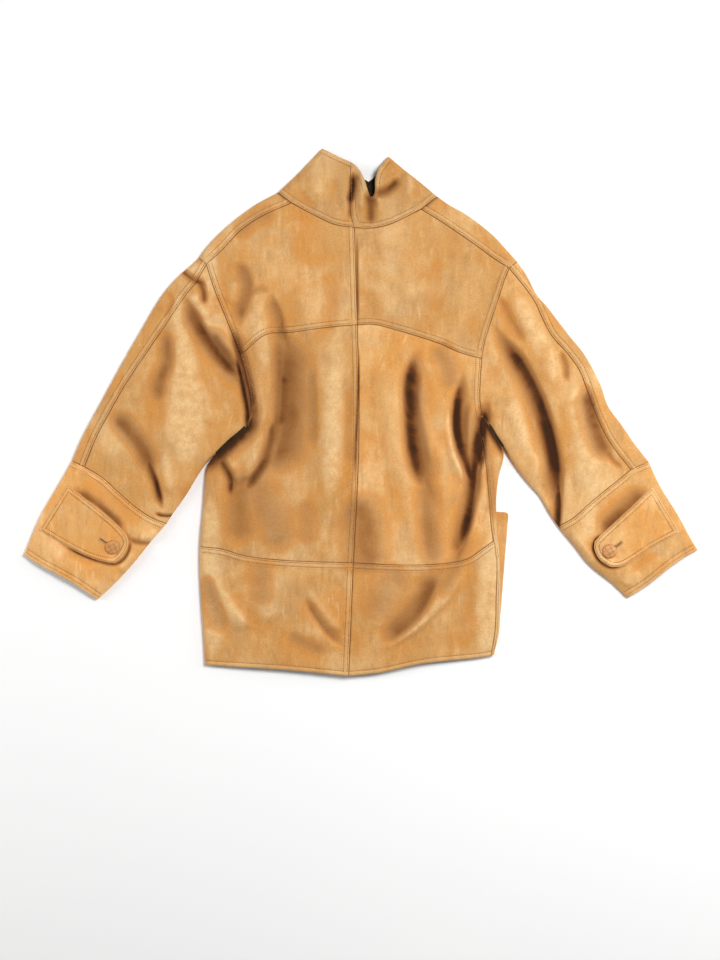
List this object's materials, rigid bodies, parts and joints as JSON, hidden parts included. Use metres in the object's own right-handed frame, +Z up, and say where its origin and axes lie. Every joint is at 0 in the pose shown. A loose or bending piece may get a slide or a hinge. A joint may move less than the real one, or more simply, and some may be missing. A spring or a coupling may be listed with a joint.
{
  "type": "sheepskin coat",
  "caption": "Short suede sheepskin coat laid flat on its front, back up, with a stand collar, seamed back, wide sleeves, buttoned cuff tabs and patch pockets.",
  "frame": {"origin": "centre of the bounding box, on the surface the coat lies on", "axes": "+Z up out of the back, +Y towards the collar, -X towards the wearer's left sleeve"},
  "size_m": [1.18, 0.924, 0.0306],
  "materials": {
    "suede": "matte suede nap",
    "suede_trim": "matte suede nap",
    "button_leather": "satin"
  },
  "bodies": {
    "root": {"back_yoke_left": "suede", "back_left": "suede", "back_band_left": "suede", "front_left": "suede", "sleeve_back_left": "suede", "sleeve_front_left": "suede", "cuff_left": "suede", "collar_left": "suede", "cuff_tab_left": "suede_trim", "pocket_left": "suede_trim", "cuff_button_left": "button_leather", "back_yoke_right": "suede", "back_right": "suede", "back_band_right": "suede", "front_right": "suede", "sleeve_back_right": "suede", "sleeve_front_right": "suede", "cuff_right": "suede", "collar_right": "suede", "cuff_tab_right": "suede_trim", "pocket_right": "suede_trim", "cuff_button_right": "button_leather", "front_button_1": "button_leather", "front_button_2": "button_leather", "front_button_3": "button_leather", "front_button_4": "button_leather"}
  },
  "joints": []
}
